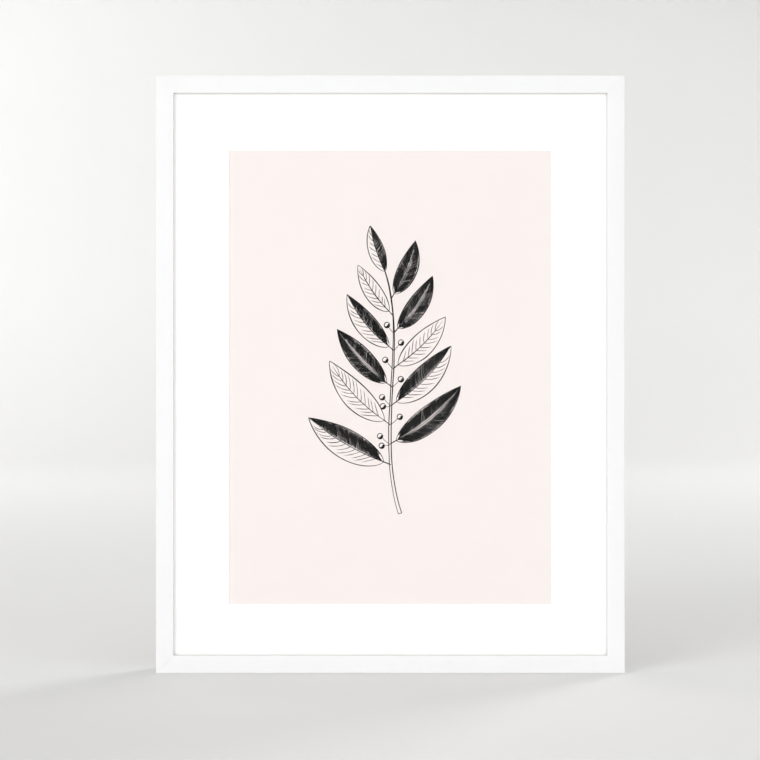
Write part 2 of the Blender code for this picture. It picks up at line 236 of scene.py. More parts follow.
class Graph:
    """The node tree of one material, with a Principled shader at its end."""

    def __init__(self, name: str) -> None:
        """Start a material.

        Args:
            name: The material's name.
        """
        self.material = bpy.data.materials.new(name)
        self.material.use_nodes = True
        self.tree = self.material.node_tree
        self.shader = self.tree.nodes["Principled BSDF"]
        self.place = self.node("ShaderNodeTexCoord").outputs["Object"]
        axes = self.node("ShaderNodeSeparateXYZ", inputs={0: self.place})
        self.x, self.y, self.z = (Value(self, socket) for socket in axes.outputs)

    def node(
        self, kind: str, settings: Optional[Settings] = None, inputs: Optional[Inputs] = None
    ) -> bpy.types.Node:
        """Add a node.

        Args:
            kind: The node's type.
            settings: Its properties, set first; "stops" holds a ramp's places and colours.
            inputs: The values or links of its sockets, by name or number.

        Returns:
            The new node.
        """
        node = self.tree.nodes.new(kind)
        for key, setting in (settings or {}).items():
            if key == "stops":
                self.fill_ramp(node.color_ramp, setting)
            else:
                setattr(node, key, setting)
        for key, source in (inputs or {}).items():
            self.feed(node.inputs[key], source)
        return node

    def fill_ramp(self, ramp: bpy.types.ColorRamp, stops: Stops) -> None:
        """Set a ramp's stops.

        Args:
            ramp: The colour ramp.
            stops: Pairs of a place from 0 to 1 and a colour.
        """
        while len(ramp.elements) < len(stops):
            ramp.elements.new(1.0)
        for element, (place, colour) in zip(ramp.elements, stops):
            element.position = place
            element.color = (*colour, 1.0)

    def feed(self, socket: Socket, source: Input) -> None:
        """Link a source into a socket, or set it there.

        Args:
            socket: The input socket.
            source: A value, an output socket, a number, or a colour or vector.
        """
        if isinstance(source, Value):
            source = source.socket
        if isinstance(source, Socket):
            self.tree.links.new(source, socket)
        elif isinstance(source, (int, float)):
            socket.default_value = source
        elif len(source) < len(socket.default_value):
            socket.default_value = (*source, 1.0)
        else:
            socket.default_value = source

    def noise(
        self, size: float, detail: float = 2.0, rough: float = 0.5, stretch: Triple = EVEN
    ) -> Value:
        """Add a noise pattern.

        Args:
            size: The size of its features, in metres.
            detail: How many finer layers it has.
            rough: How strong the finer layers are.
            stretch: How much longer the features are along each axis.

        Returns:
            The noise, mostly from 0.3 to 0.7.
        """
        factors = {0: self.place, 1: tuple(1.0 / factor for factor in stretch)}
        place = self.node("ShaderNodeVectorMath", {"operation": "MULTIPLY"}, factors).outputs[0]
        inputs = {"Vector": place, "Scale": 1.0 / size, "Detail": detail, "Roughness": rough}
        return Value(self, self.node("ShaderNodeTexNoise", inputs=inputs).outputs["Fac"])

    def mix(self, mask: Number, low: Input, high: Input) -> Socket:
        """Mix two colours, with more of the high one where the mask is higher."""
        sources = {"Factor": mask, "A": low, "B": high}
        return self.node("ShaderNodeMix", {"data_type": "RGBA"}, sources).outputs["Result"]

    def ramp(self, source: Value, stops: Stops) -> Socket:
        """Turn a value into a colour by a ramp's places and colours."""
        return self.node("ShaderNodeValToRGB", {"stops": stops}, {"Fac": source}).outputs["Color"]

    def relief(self, height: Value, depth: float, strength: float) -> None:
        """Raise the surface by a pattern, to a depth in metres and at a strength up to 1."""
        inputs = {"Height": height, "Distance": depth, "Strength": strength}
        self.dress(Normal=self.node("ShaderNodeBump", inputs=inputs).outputs["Normal"])

    def dress(self, **inputs: Input) -> Material:
        """Feed the shader.

        Args:
            inputs: What feeds its sockets, by their names with _ for a space.

        Returns:
            The material.
        """
        for name, source in inputs.items():
            self.feed(self.shader.inputs[name.replace("_", " ")], source)
        return self.material


# Finishes


@dataclass(frozen=True)
class Lacquer:
    """White satin lacquer, through which the grain of the wood shows faintly."""

    colour: Colour = (0.785, 0.788, 0.792)
    shadow: Colour = (0.752, 0.755, 0.758)
    roughness: float = 0.31
    relief: float = 0.09 * MM

    def material(self, side: Side) -> Material:
        """Make the lacquer of one rail.

        Args:
            side: The rail's side, which gives the way of the grain.

        Returns:
            The material.
        """
        graph = Graph("lacquer_" + side.word)
        grain = graph.noise(0.9 * MM, 3.0, 0.55, side.grain(38.0))
        pores = graph.noise(0.35 * MM, 2.0, 0.5, side.grain(24.0)).step(0.30, 0.48)
        peel = graph.noise(1.6 * MM, 1.0)
        cloud = graph.noise(60 * MM)
        colour = graph.mix(cloud * 0.4 + pores * 0.6, self.shadow, self.colour)
        graph.relief(grain * 0.4 + pores * 0.35 + peel * 0.25, self.relief, 0.7)
        return graph.dress(Base_Color=colour, Roughness=self.roughness + grain * 0.1)


@dataclass(frozen=True)
class BareWood:
    """Pale planed wood, with white overspray along its outer edge where it has one."""

    pale: Colour = (0.610, 0.445, 0.275)
    dark: Colour = (0.330, 0.190, 0.095)
    overspray: Colour = (0.780, 0.775, 0.765)
    spray_reach: float = 3.2 * MM
    roughness: float = 0.64
    relief: float = 0.12 * MM

    def material(self, name: str, side: Side, edge: Optional[float] = None) -> Material:
        """Make the bare wood of one piece.

        Args:
            name: The material's name.
            side: The side that gives the way of the grain.
            edge: How far the painted outer edge is from the middle, if there is one.

        Returns:
            The material.
        """
        graph = Graph(name)
        figure = graph.noise(2.6 * MM, 4.0, 0.6, side.grain(26.0))
        pores = graph.noise(0.35 * MM, 2.0, 0.5, side.grain(18.0))
        rings = graph.noise(7.0 * MM, 1.0, 0.4, side.grain(60.0))
        tone = figure * 0.7 + rings * 0.5 + pores * 0.2
        colour = graph.ramp(tone, ((0.52, self.dark), (0.70, self.pale), (0.95, self.pale)))
        if edge is not None:
            place = graph.z - MIDDLE.z if side.along.x else graph.x - MIDDLE.x
            ragged = graph.noise(1.8 * MM, 3.0, 0.7)
            spray = (abs(place) - edge + ragged * self.spray_reach).step(-0.6 * MM, 1.6 * MM)
            colour = graph.mix(spray * 0.92, colour, self.overspray)
        graph.relief(pores * 0.6 + figure * 0.4, self.relief, 0.6)
        return graph.dress(Base_Color=colour, Roughness=self.roughness + pores * 0.16)


@dataclass(frozen=True)
class ClearPane:
    """Clear coated acrylic, which lets light through and mirrors a little of the room."""

    mirrored: float = 0.008
    falloff: float = 5.0
    roughness: float = 0.015

    def material(self) -> Material:
        """Make the pane's material, which mirrors more the more it is seen aslant.

        Returns:
            The material.
        """
        graph = Graph("clear_acrylic")
        aslant = graph.node("ShaderNodeLayerWeight").outputs["Facing"]
        share = Value(graph, aslant).power(self.falloff) * (1.0 - self.mirrored) + self.mirrored
        clear = graph.node("ShaderNodeBsdfTransparent")
        gloss = graph.node("ShaderNodeBsdfGlossy", inputs={"Roughness": self.roughness})
        both = {0: share, 1: clear.outputs[0], 2: gloss.outputs[0]}
        mixed = graph.node("ShaderNodeMixShader", inputs=both)
        graph.feed(graph.tree.nodes["Material Output"].inputs["Surface"], mixed.outputs[0])
        graph.tree.nodes.remove(graph.shader)
        return graph.material


@dataclass(frozen=True)
class MatBoard:
    """White cotton mat board with a soft tooth, and the brighter core that its bevel shows."""

    face: Colour = (0.950, 0.950, 0.946)
    core: Colour = (0.965, 0.965, 0.960)
    specular: float = 0.25

    def face_material(self) -> Material:
        """Make the toothed face.

        Returns:
            The material.
        """
        graph = Graph("mat_face")
        tooth = graph.noise(0.55 * MM, 4.0, 0.6)
        fibres = graph.noise(0.22 * MM, stretch=(6.0, 1.0, 1.0))
        cloud = graph.noise(25 * MM)
        dull = tuple(0.985 * channel for channel in self.face)
        colour = graph.mix(cloud * 0.5 + tooth * 0.5, dull, self.face)
        graph.relief(tooth * 0.75 + fibres * 0.25, 0.06 * MM, 0.6)
        return graph.dress(
            Base_Color=colour, Roughness=0.86 + tooth * 0.1, Specular_IOR_Level=self.specular
        )

    def core_material(self) -> Material:
        """Make the knife-cut core.

        Returns:
            The material.
        """
        graph = Graph("mat_core")
        knife = graph.noise(0.12 * MM, stretch=(14.0, 1.0, 14.0))
        colour = graph.mix(knife, tuple(0.97 * channel for channel in self.core), self.core)
        graph.relief(knife, 0.03 * MM, 0.5)
        return graph.dress(Base_Color=colour, Roughness=0.80, Specular_IOR_Level=self.specular)


@dataclass(frozen=True)
class PrintedPaper:
    """Smooth cotton paper, printed with a flat blush ground inside a white margin."""

    ground: Colour = (0.804, 0.746, 0.729)
    speck: Colour = (0.780, 0.717, 0.697)
    margin: Colour = (0.930, 0.928, 0.915)
    specular: float = 0.25
    bleed: float = 3 * MM

    def material(self, window: "Window") -> Material:
        """Make the printed sheet's material.

        Args:
            window: The opening that the ground fills, with some bleed behind the mat.

        Returns:
            The material.
        """
        graph = Graph("blush_paper")
        tooth = graph.noise(0.40 * MM, 4.0, 0.65)
        dots = graph.noise(0.16 * MM, 1.0).step(0.56, 0.72)
        cloud = graph.noise(40 * MM)
        ground = graph.mix(dots * 0.45 + cloud * 0.2, self.ground, self.speck)
        out_x = abs(graph.x) - (window.width / 2 + self.bleed)
        out_z = abs(graph.z - window.centre_z) - (window.height / 2 + self.bleed)
        colour = graph.mix(out_x.larger(out_z).step(0.0, 0.1 * MM), ground, self.margin)
        graph.relief(tooth, 0.035 * MM, 0.6)
        return graph.dress(
            Base_Color=colour, Roughness=0.84 + tooth * 0.1, Specular_IOR_Level=self.specular
        )


@dataclass(frozen=True)
class Ink:
    """Matt black drawing ink, a little thinner where the paper's tooth stands up."""

    deep: Colour = (0.0040, 0.0036, 0.0038)
    thin: Colour = (0.0280, 0.0250, 0.0250)
    specular: float = 0.15

    def material(self) -> Material:
        """Make the ink's material.

        Returns:
            The material.
        """
        graph = Graph("black_ink")
        tooth = graph.noise(0.30 * MM, 3.0, 0.7)
        colour = graph.mix(tooth.step(0.50, 0.75), self.deep, self.thin)
        return graph.dress(
            Base_Color=colour, Roughness=0.70 + tooth * 0.15, Specular_IOR_Level=self.specular
        )


@dataclass(frozen=True)
class Hardboard:
    """Brown pressed fibreboard, its back printed by the wire screen of the press."""

    dark: Colour = (0.120, 0.060, 0.030)
    brown: Colour = (0.235, 0.130, 0.068)
    pale: Colour = (0.360, 0.225, 0.130)
    screen_pitch: float = 1.25 * MM
    relief: float = 0.14 * MM

    def material(self) -> Material:
        """Make the hardboard's material.

        Returns:
            The material.
        """
        graph = Graph("hardboard")
        flakes = graph.noise(3.2 * MM, 5.0, 0.62)
        fibres = graph.noise(0.6 * MM, 4.0, 0.72)
        strands = graph.noise(0.5 * MM, 2.0, 0.6, (5.0, 1.0, 1.0))
        cloud = graph.noise(85 * MM)
        tone = flakes * 0.42 + fibres * 0.40 + strands * 0.16 + cloud * 0.12 - 0.08
        turns = 1.0 / self.screen_pitch
        screen = graph.x.wave(turns) * graph.z.wave(turns) * 0.5 + 0.5
        stops = ((0.38, self.dark), (0.52, self.brown), (0.70, self.pale))
        colour = graph.ramp(tone + screen * 0.09, stops)
        graph.relief(screen * 0.6 + flakes * 0.4, self.relief, 0.7)
        return graph.dress(Base_Color=colour, Roughness=0.52 + flakes * 0.25)


@dataclass(frozen=True)
class GreyBoard:
    """Recycled grey board, flecked."""

    dark: Colour = (0.250, 0.240, 0.225)
    pale: Colour = (0.460, 0.450, 0.430)
    roughness: float = 0.9

    def material(self) -> Material:
        """Make the grey board's material.

        Returns:
            The material.
        """
        graph = Graph("grey_board")
        pulp = graph.noise(1.1 * MM, 5.0, 0.7)
        colour = graph.mix(pulp.step(0.35, 0.65), self.dark, self.pale)
        graph.relief(pulp, 0.05 * MM, 0.5)
        return graph.dress(Base_Color=colour, Roughness=self.roughness)


@dataclass(frozen=True)
class Metal:
    """A rolled or stamped metal, with fine scratches and duller patches."""

    name: str
    bright: Colour
    dull: Colour
    roughness: float

    def material(self) -> Material:
        """Make the metal's material.

        Returns:
            The material.
        """
        graph = Graph(self.name)
        scratches = graph.noise(0.12 * MM, stretch=(22.0, 1.0, 1.0))
        stain = graph.noise(2.4 * MM, 4.0, 0.65)
        colour = graph.mix(stain.step(0.42, 0.68), self.bright, self.dull)
        graph.relief(scratches, 0.012 * MM, 0.5)
        return graph.dress(
            Base_Color=colour,
            Metallic=1.0,
            Roughness=self.roughness + stain * 0.12 + scratches * 0.08,
        )


@dataclass(frozen=True)
class Rubber:
    """Grey rubber with a fine moulded skin and a pale bloom."""

    colour: Colour = (0.430, 0.430, 0.420)
    bloom: Colour = (0.560, 0.555, 0.540)

    def material(self) -> Material:
        """Make the rubber's material.

        Returns:
            The material.
        """
        graph = Graph("bumper_rubber")
        skin = graph.noise(0.25 * MM)
        bloom = graph.noise(1.8 * MM, 3.0)
        colour = graph.mix(bloom.step(0.4, 0.7), self.colour, self.bloom)
        graph.relief(skin, 0.02 * MM, 0.5)
        return graph.dress(Base_Color=colour, Roughness=0.45 + bloom * 0.25)


@dataclass(frozen=True)
class Plaster:
    """Plain pale paint: the studio's wall, and its slightly deeper floor."""

    wall: Colour = (0.84, 0.838, 0.828)
    floor: Colour = (0.80, 0.796, 0.785)
    blend_height: float = 0.7
    roughness: float = 0.9

    def material(self) -> Material:
        """Make the studio's material.

        Returns:
            The material.
        """
        graph = Graph("studio_paint")
        colour = graph.mix(graph.z.step(0.0, self.blend_height), self.floor, self.wall)
        return graph.dress(Base_Color=colour, Roughness=self.roughness)


# Shapes


def nodes_named(start: str) -> list[str]:
    """List the frame's nodes whose names start alike, in order."""
    return sorted(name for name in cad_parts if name.startswith(start))


def unit(angle: float) -> np.ndarray:
    """Give the unit vector at an angle, in radians."""
    return np.array([math.cos(angle), math.sin(angle)])


def left_of(ways: np.ndarray) -> np.ndarray:
    """Give the unit vectors to the left of ways in a plane."""
    units = ways / np.maximum(np.linalg.norm(ways, axis=1), 1e-9)[:, None]
    return np.stack([-units[:, 1], units[:, 0]], axis=1)


def inset(section: Points, distance: np.ndarray) -> Points:
    """Move a closed section in by a small distance.

    Args:
        section: Its points, counter-clockwise.
        distance: How far in, at each point.

    Returns:
        The points of the inner section.
    """
    points = np.array(section)
    left = left_of(np.roll(points, -1, axis=0) - points)
    before = np.roll(left, 1, axis=0)
    shared = (left + before) / (1.0 + np.sum(left * before, axis=1))[:, None]
    return [tuple(point) for point in points + shared * distance[:, None]]


def quarter(centre: Pair, radius: float, start: float, steps: int) -> Points:
    """Give the points of a quarter round that starts at an angle in degrees."""
    turns = np.radians(np.linspace(start, start + 90.0, steps + 1))
    return [(centre[0] + radius * math.cos(t), centre[1] + radius * math.sin(t)) for t in turns]


def eased_section(low: Pair, high: Pair, ease: float) -> Points:
    """Give the outline of a flat strip's section.

    Args:
        low: Its lowest corner.
        high: Its highest corner.
        ease: How far its corners are taken off.

    Returns:
        The points, counter-clockwise.
    """
    (u0, v0), (u1, v1) = low, high
    return [
        (u0, v0 + ease), (u0 + ease, v0), (u1 - ease, v0), (u1, v0 + ease),
        (u1, v1 - ease), (u1 - ease, v1), (u0 + ease, v1), (u0, v1 - ease),
    ]


def rectangle(x0: float, x1: float, z0: float, z1: float, y: float) -> Ring:
    """Give the corners of an upright rectangle at one depth."""
    return [Vector((x0, y, z0)), Vector((x1, y, z0)), Vector((x1, y, z1)), Vector((x0, y, z1))]


def outline(low: Vector, high: Vector, cut: float, y: float) -> Ring:
    """Give the corners of a box as seen from the front, drawn in by a cut, at one depth."""
    return rectangle(low.x + cut, high.x - cut, low.z + cut, high.z - cut, y)


def loft(rings: Sequence[Ring], cyclic: bool = False, paint: Sequence[int] = ()) -> Shape:
    """Make a closed shape through rings of points.

    Args:
        rings: Rings with the same number of points.
        cyclic: Whether the last ring joins the first, in place of an end on each.
        paint: Material numbers of the strips along the rings' edges, or, on a cyclic
            shape, of the bands between rings. An end takes the highest.

    Returns:
        The shape, with its faces pointing out.
    """
    shape = bmesh.new()
    loops = [[shape.verts.new(point) for point in ring] for ring in rings]
    count = len(loops[0])
    for band, (near, far) in enumerate(zip(loops, loops[1:] + loops[: int(cyclic)])):
        for index in range(count):
            after = (index + 1) % count
            face = shape.faces.new((near[index], near[after], far[after], far[index]))
            if paint:
                face.material_index = paint[band] if cyclic else paint[index]
    if not cyclic:
        for ring in (loops[0], loops[-1]):
            shape.faces.new(ring).material_index = max(paint, default=0)
    bmesh.ops.recalc_face_normals(shape, faces=shape.faces)
    return shape


def eased_slab(low: Vector, high: Vector, ease: float) -> Shape:
    """Make an upright sheet between two corners, its long edges taken off by an ease."""
    cuts = ((low.y, ease), (low.y + ease, 0.0), (high.y - ease, 0.0), (high.y, ease))
    return loft([outline(low, high, cut, y) for y, cut in cuts])


def turned(low: Vector, high: Vector, profile: Points, sides: int) -> Shape:
    """Make a shape turned about the axis that runs along Y through a box's middle.

    Args:
        low: The box's lowest corner, whose depth the profile is measured from.
        high: Its highest corner.
        profile: Pairs of a depth and a radius.
        sides: The number of points in each ring.

    Returns:
        The shape.
    """
    centre = Vector(((low.x + high.x) / 2, low.y, (low.z + high.z) / 2))
    turns = np.linspace(0.0, 2 * math.pi, sides, endpoint=False)
    rings = [
        [centre + Vector((radius * math.cos(t), depth, radius * math.sin(t))) for t in turns]
        for depth, radius in profile
    ]
    return loft(rings)


def placed(name: str, data: bpy.types.ID) -> Object:
    """Make an object and link it to the scene.

    Args:
        name: The object's name.
        data: Its mesh, light or camera.

    Returns:
        The object.
    """
    obj = bpy.data.objects.new(name, data)
    bpy.context.scene.collection.objects.link(obj)
    return obj


def carve(piece: Object, tools: Sequence[Object]) -> None:
    """Cut every tool's shape out of a piece, and remove the tools.

    Args:
        piece: The piece, whose mesh is replaced.
        tools: The shapes to cut out.
    """
    for tool in tools:
        cut = piece.modifiers.new(tool.name, "BOOLEAN")
        cut.operation = "DIFFERENCE"
        cut.solver = "EXACT"
        cut.object = tool
    bpy.context.view_layer.update()
    depsgraph = bpy.context.evaluated_depsgraph_get()
    solid = piece.data
    carved = bpy.data.meshes.new_from_object(piece.evaluated_get(depsgraph))
    piece.modifiers.clear()
    piece.data = carved
    bpy.data.meshes.remove(solid)
    for tool in tools:
        bpy.data.objects.remove(tool)


def make_mesh(name: str, shape: Shape, materials: Sequence[Material]) -> Object:
    """Make an object from a shape, which is used up.

    Args:
        name: The object's name.
        shape: The shape.
        materials: Its materials, in the order that the shape's faces number them.

    Returns:
        The object.
    """
    data = bpy.data.meshes.new(name)
    shape.to_mesh(data)
    shape.free()
    for material in materials:
        data.materials.append(material)
    return placed(name, data)


def fit_piece(
    piece: Object, node: Optional[str] = None, sharp: float = 35.0
) -> None:
    """Shade a piece and put it on the frame.

    Args:
        piece: The piece.
        node: The node that it stands for.
        sharp: The angle, in degrees, past which an edge stays sharp.
    """
    piece.data.shade_smooth()
    piece.data.set_sharp_from_angle(angle=math.radians(sharp))
    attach(piece, BODY)
    if node is not None:
        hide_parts(node)
    LOG.info("%s: %d faces", piece.name, len(piece.data.polygons))


def make_piece(name: str, shape: Shape, material: Material, node: str) -> None:
    """Make a piece of one material that stands for a node, and put it on the frame."""
    fit_piece(make_mesh(name, shape, [material]), node)


def keep_node(node: str, material: Material) -> None:
    """Dress a node that stays as it is.

    Args:
        node: The node.
        material: Its new material.
    """
    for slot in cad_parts[node].material_slots:
        slot.material = material
    LOG.info("%s: kept", node)


# The framed print


@dataclass(frozen=True)
class Window:
    """The opening of the mat, on its side against the print."""

    width: float
    height: float
    centre_z: float

    @classmethod
    def behind_mat(cls) -> "Window":
        """Read the opening from the printed sheet's box."""
        (x0, _, z0), (x1, _, z1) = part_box("art_print")
        return cls(x1 - x0 - 2 * PRINT_OVERLAP, z1 - z0 - 2 * PRINT_OVERLAP, (z0 + z1) / 2)

    def ring(self, grow: float, y: float) -> Ring:
        """Give the opening's corners, moved out by grow, at one depth."""
        across, up = self.width / 2 + grow, self.height / 2 + grow
        return rectangle(-across, across, self.centre_z - up, self.centre_z + up, y)


@dataclass
class BoxFrame:
    """The four mitred rails of the deep white frame, and the nails over their mitres.

    mitre_ease is how far a mitre's ease runs along the rail, as a multiple of its depth.
    """

    lacquer: Lacquer
    wood: BareWood
    nail_finish: Metal
    front_ease: float = 0.6 * MM
    sight_ease: float = 0.4 * MM
    back_ease: float = 0.6 * MM
    round_steps: int = 7
    seam: float = 0.02 * MM
    painted_ease: float = 0.05 * MM
    bare_ease: float = 0.14 * MM
    mitre_ease: float = 1.5
    slot_play: float = 0.06 * MM
    slot_ease: float = 0.01 * MM
    slot_past: float = 1 * MM
    nail_thick: float = 0.6 * MM
    nail_stands: float = 0.03 * MM

    def __post_init__(self) -> None:
        """Read the frame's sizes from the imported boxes."""
        left_low, left_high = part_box("rail_left")
        low_z, high_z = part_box("rail_bottom")[0].z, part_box("rail_top")[1].z
        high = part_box("rail_right")[1]
        self.low = Vector((left_low.x, left_low.y, low_z))
        self.high = Vector((high.x, high.y, high_z))
        self.spread = self.high - self.low
        self.face = left_high.x - left_low.x
        self.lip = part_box("glazing")[0].y - TOUCH - self.low.y
        self.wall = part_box("spacer_bottom")[0].z - TOUCH - self.low.z

    def section(self) -> tuple[Points, list[int]]:
        """Draw the rail's section, measured in from its outer edge and back from its front.

        Returns:
            The points, counter-clockwise, and the material number of the edge after each:
            0 where it is lacquered and 1 where it is bare.
        """
        depth, steps = self.spread.y, self.round_steps
        front, sight, back = self.front_ease, self.sight_ease, self.back_ease
        painted = quarter((front, front), front, 180.0, steps)
        painted += quarter((self.face - sight, sight), sight, 270.0, steps)
        bare = [(self.face, self.lip), (self.wall, self.lip), (self.wall, depth)]
        closing = quarter((back, depth - back), back, 90.0, steps)
        return painted + bare + closing, [0] * len(painted) + [1] * len(bare) + [0] * len(closing)

    def rail_shape(self, side: Side) -> Shape:
        """Make one rail, with both mitres and a fine ease along them.

        Args:
            side: The rail's side.

        Returns:
            The shape.
        """
        section, paint = self.section()
        eases = np.where(np.array(paint) == 1, self.bare_ease, self.painted_ease)
        inner = inset(section, eases)
        length, reach_in = side.split(self.spread)
        middle = Vector((MIDDLE.x, self.low.y, MIDDLE.z)) - side.inward * (reach_in / 2)
        rings = []
        for end, at_mitre in ((-1, True), (-1, False), (1, False), (1, True)):
            points, back_off = (inner, 0.0) if at_mitre else (section, self.mitre_ease)
            ring = []
            for (across, depth), ease in zip(points, eases):
                reach = end * (length / 2 - across - self.seam - back_off * ease)
                place = middle + side.along * reach + side.inward * across
                ring.append(place + Vector((0, depth, 0)))
            rings.append(ring)
        return loft(rings, paint=paint)

    def nail_block(self, node: str, grow: float, near_y: float, far_y: float) -> Shape:
        """Make a mitre nail, an L as seen from behind, or the slot for one.

        Args:
            node: The nail's node.
            grow: How much wider than the nail it is on each side.
            near_y: The depth of its front.
            far_y: The depth of its back.

        Returns:
            The shape.
        """
        low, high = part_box(node)
        right, top = node.endswith("right"), "top" in node
        corner = (high.x if right else low.x, high.z if top else low.z)
        way = (-1 if right else 1, -1 if top else 1)
        out, thick, leg = -grow, self.nail_thick + grow, high.x - low.x + grow
        steps = ((out, out), (leg, out), (leg, thick), (thick, thick), (thick, leg), (out, leg))
        places = [(corner[0] + way[0] * p, corner[1] + way[1] * q) for p, q in steps]
        return loft([[Vector((x, y, z)) for x, z in places] for y in (near_y, far_y)])

    def slots(self, side: Side, materials: Sequence[Material]) -> list[Object]:
        """Make the shapes to cut out of one rail: nail slots and tab slots.

        Args:
            side: The rail's side.
            materials: The rail's materials, so that a slot's walls are bare.

        Returns:
            The cutting tools.
        """
        shapes = []
        for node in nodes_named("mitre_nail_"):
            if side.word in node:
                near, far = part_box(node)[0].y - TOUCH, self.high.y + self.slot_past
                shapes.append(self.nail_block(node, self.slot_play, near, far))
        play = Vector((self.slot_play, self.slot_play, self.slot_play))
        for node in nodes_named("tab_" + side.word):
            low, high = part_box(node)
            shapes.append(eased_slab(low - play, high + play, self.slot_ease))
        for face in (face for shape in shapes for face in shape.faces):
            face.material_index = 1
        names = [f"slot_{side.word}_{number}" for number in range(len(shapes))]
        return [make_mesh(name, shape, materials) for name, shape in zip(names, shapes)]

    def build(self) -> None:
        """Make the rails and the mitre nails."""
        for side in Side:
            bare = self.wood.material("bare_" + side.word, side, side.split(self.spread)[1] / 2)
            materials = [self.lacquer.material(side), bare]
            piece = make_mesh("frame_rail_" + side.word, self.rail_shape(side), materials)
            carve(piece, self.slots(side, materials))
            fit_piece(piece, "rail_" + side.word)
        steel = self.nail_finish.material()
        for node in nodes_named("mitre_nail_"):
            shape = self.nail_block(node, 0.0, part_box(node)[0].y, self.high.y + self.nail_stands)
            make_piece(node.replace("mitre_nail", "corner_nail"), shape, steel, node)


@dataclass
class Glazing:
    """The clear pane behind the lip."""

    finish: ClearPane
    edge_ease: float = 0.25 * MM

    def build(self) -> None:
        """Make the pane."""
        shape = eased_slab(*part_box("glazing"), self.edge_ease)
        make_piece("pane", shape, self.finish.material(), "glazing")


@dataclass
class WindowMat:
    """The wide mat with its bevelled opening."""

    finish: MatBoard
    window: Window
    bevel_ease: float = 0.10 * MM
    edge_ease: float = 0.10 * MM
    sharp: float = 20.0

    def build(self) -> None:
        """Make the mat, whose opening widens towards the front at 45 degrees."""
        low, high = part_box("window_mat")
        bevel = high.y - low.y
        rings = [
            outline(low, high, 0.0, low.y + self.edge_ease),
            outline(low, high, self.edge_ease, low.y),
            self.window.ring(bevel + self.bevel_ease, low.y),
            self.window.ring(bevel - self.bevel_ease / 2, low.y + self.bevel_ease / 2),
            self.window.ring(0.0, high.y),
            outline(low, high, 0.0, high.y),
        ]
        shape = loft(rings, cyclic=True, paint=[0, 0, 0, 1, 0, 1])
        piece = make_mesh("mat", shape, [self.finish.face_material(), self.finish.core_material()])
        fit_piece(piece, "window_mat", self.sharp)


@dataclass
class PrintedSheet:
    """The printed sheet, and the sprig that is drawn on it in ink."""

    finish: PrintedPaper
    ink: Ink
    window: Window
    edge_ease: float = 0.05 * MM

    def build(self) -> None:
        """Make the sheet and the drawing."""
        low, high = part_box("art_print")
        shape, paper = eased_slab(low, high, self.edge_ease), self.finish.material(self.window)
        make_piece("printed_sheet", shape, paper, "art_print")
        material = self.ink.material()
        for name, lines in Sprig(self.window.centre_z, low.y).draw().items():
            fit_piece(lines.piece(name, material), sharp=180.0)


@dataclass
class InkLines:
    """Many ink strokes, gathered in one mesh: each is a low ridge on the paper."""

    centre_z: float
    paper_y: float
    foot: float = 0.004 * MM
    points: list[Triple] = field(default_factory=list)
    faces: list[list[int]] = field(default_factory=list)

    def stroke(self, path: np.ndarray, widths: np.ndarray, height: float) -> None:
        """Add one stroke.

        Args:
            path: Its middle line, as X and Z from the drawing's centre, in metres.
            widths: Its width at each point.
            height: How far its ridge stands off the paper.
        """
        left = left_of(np.gradient(path, axis=0)) * (widths / 2)[:, None]
        corners = np.empty((len(path), 3, 3))
        edges = ((path + left, self.foot), (path - left, self.foot), (path, height))
        for column, (plane, lift) in enumerate(edges):
            corners[:, column, 0] = plane[:, 0]
            corners[:, column, 1] = self.paper_y - lift
            corners[:, column, 2] = plane[:, 1] + self.centre_z
        first = len(self.points)
        last = first + 3 * (len(path) - 1)
        starts = np.arange(first, last, 3)[:, None]
        for near, far in ((0, 1), (1, 2), (2, 0)):
            self.faces += (starts + np.array([near + 3, far + 3, far, near])).tolist()
        self.faces += [[first, first + 1, first + 2], [last + 2, last + 1, last]]
        self.points += corners.reshape(-1, 3).tolist()

    def piece(self, name: str, material: Material) -> Object:
        """Make the mesh of all the strokes.

        Args:
            name: The piece's name.
            material: The ink.

        Returns:
            The piece.
        """
        data = bpy.data.meshes.new(name)
        data.from_pydata(self.points, [], self.faces)
        data.materials.append(material)
        return placed(name, data)


@dataclass
class Leaf:
    """One drawn leaf, on a midrib that bends. fullest is its swell where it is widest."""

    base: np.ndarray
    heading: float
    length: float
    half_width: float
    bend: float
    shade: Shade
    dark_side: int
    base_swell: float = 0.72
    tip_swell: float = 0.92
    fullest: float = 0.325

    def midrib(self, share: np.ndarray) -> tuple[np.ndarray, np.ndarray]:
        """Follow the midrib.

        Args:
            share: Places along it, from 0 at its base to 1 at its tip.

        Returns:
            The points, and the unit vectors to the left of the way it runs.
        """
        knee = self.base + 0.5 * self.length * unit(self.heading - self.bend / 2)
        tip = knee + 0.5 * self.length * unit(self.heading + self.bend / 2)
        t = np.clip(share, 0.0, 1.0)[:, None]
        points = (1 - t) ** 2 * self.base + 2 * t * (1 - t) * knee + t**2 * tip
        return points, left_of(2 * (1 - t) * (knee - self.base) + 2 * t * (tip - knee))

    def place(self, share: np.ndarray, across: Union[float, np.ndarray]) -> np.ndarray:
        """Give points on the leaf.

        Args:
            share: Places along the midrib.
            across: Places across it, from -1 at the right margin to 1 at the left one.

        Returns:
            The points.
        """
        inside = np.clip(share, 0.0, 1.0)
        swell = inside**self.base_swell * (1.0 - inside) ** self.tip_swell
        points, left = self.midrib(inside)
        return points + left * (across * self.half_width * swell / self.fullest)[:, None]


